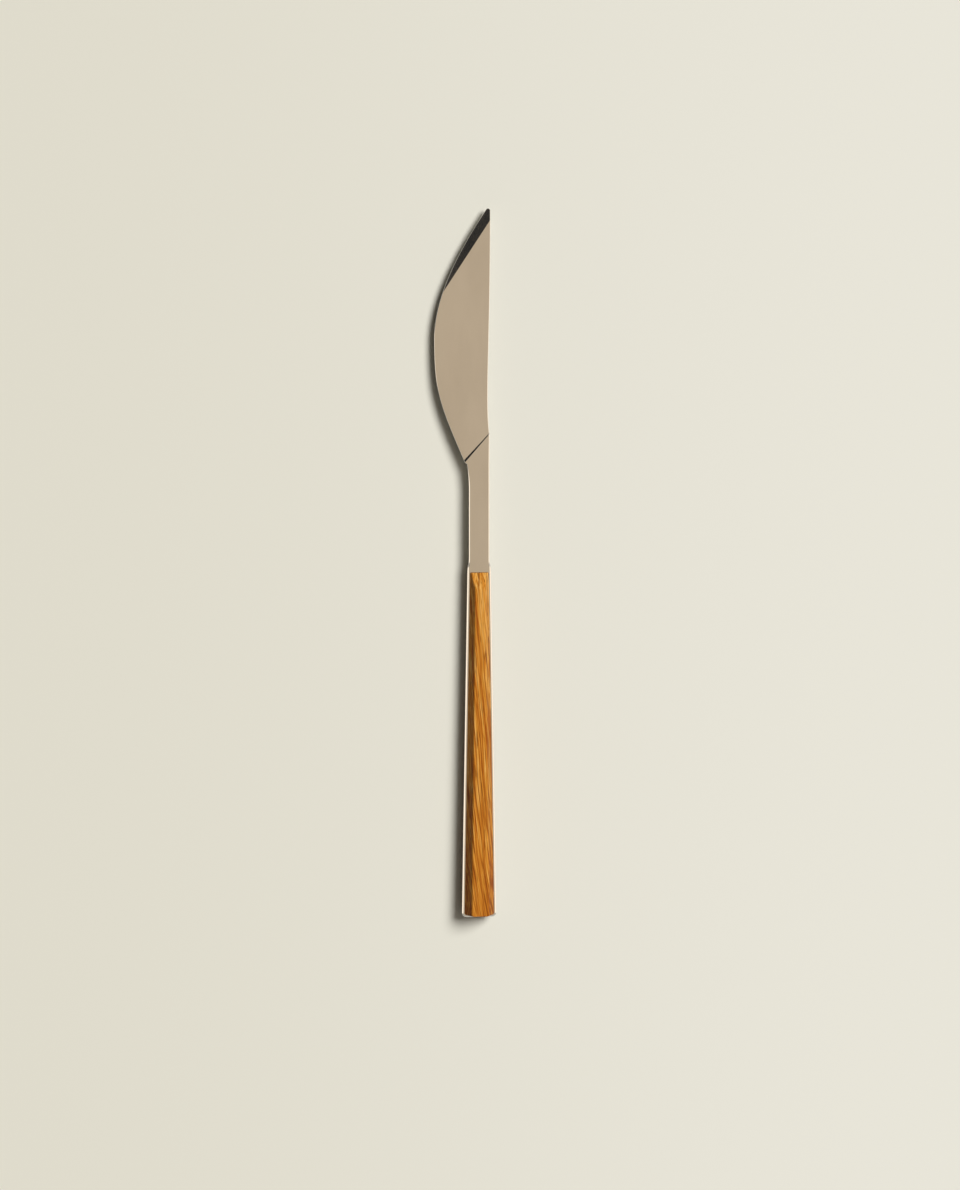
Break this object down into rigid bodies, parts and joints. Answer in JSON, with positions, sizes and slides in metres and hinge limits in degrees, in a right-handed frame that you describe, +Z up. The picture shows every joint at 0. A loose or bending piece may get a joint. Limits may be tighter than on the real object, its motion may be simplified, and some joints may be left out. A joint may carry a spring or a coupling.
{
  "type": "butter knife",
  "caption": "Slim butter knife with a wide bellied steel blade, narrow neck and full tang between bevelled wooden handle scales.",
  "frame": {"origin": "middle of the flat back of the rear scale, on the surface the knife lies on", "axes": "+Y along the handle towards the tip, +X towards the spine, +Z up, out of the front face"},
  "size_m": [0.0174, 0.2, 0.0088],
  "materials": {
    "polished_steel": "mirror polished",
    "oiled_wood": "sanded and oiled",
    "cured_glue": "cured epoxy",
    "pin_steel": "ground"
  },
  "bodies": {
    "root": {"blade_and_tang": "polished_steel", "front_scale": "oiled_wood", "rear_scale": "oiled_wood", "front_glue_film": "cured_glue", "rear_glue_film": "cured_glue", "lower_pin": "pin_steel", "middle_pin": "pin_steel", "upper_pin": "pin_steel"}
  },
  "joints": []
}
